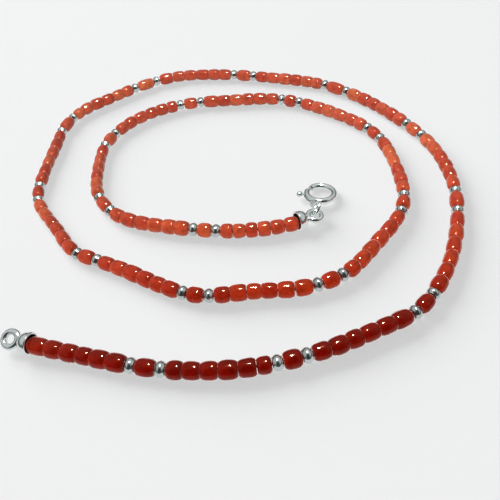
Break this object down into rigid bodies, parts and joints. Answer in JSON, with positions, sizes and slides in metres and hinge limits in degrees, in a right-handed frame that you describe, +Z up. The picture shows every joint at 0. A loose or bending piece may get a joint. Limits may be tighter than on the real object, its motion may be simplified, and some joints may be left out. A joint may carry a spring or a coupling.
{
  "type": "coral bead necklace",
  "caption": "Bead necklace of drilled coral barrels in groups parted by silver beads, with end cups, closed end rings and a spring ring clasp, laid open in loose turns.",
  "frame": {"origin": "middle of the necklace's box, on the surface under it", "axes": "+Z up from the surface, +Y away from the front of the picture, +X to the right"},
  "size_m": [0.0785, 0.0836, 0.0034],
  "materials": {
    "coral": "polished red coral",
    "silver": "polished silver",
    "thread": "dyed twisted thread"
  },
  "bodies": {
    "necklace": {"coral_beads": "coral", "silver_beads": "silver", "thread": "thread", "end_cup_left": "silver", "end_cup_right": "silver", "jump_ring": "silver", "clasp_ring": "silver"},
    "bolt": {"clasp_bolt": "silver"}
  },
  "joints": [
    {"name": "bolt_turn", "type": "hinge", "parent": "necklace", "child": "bolt", "pos_m": [0.01445, -0.00663, 0.00088], "axis": [0.0496, 0.117, 0.9919], "range_deg": [0, 44], "stiffness_Nm_per_rad": 0.00002, "springref_deg": -11.46}
  ]
}
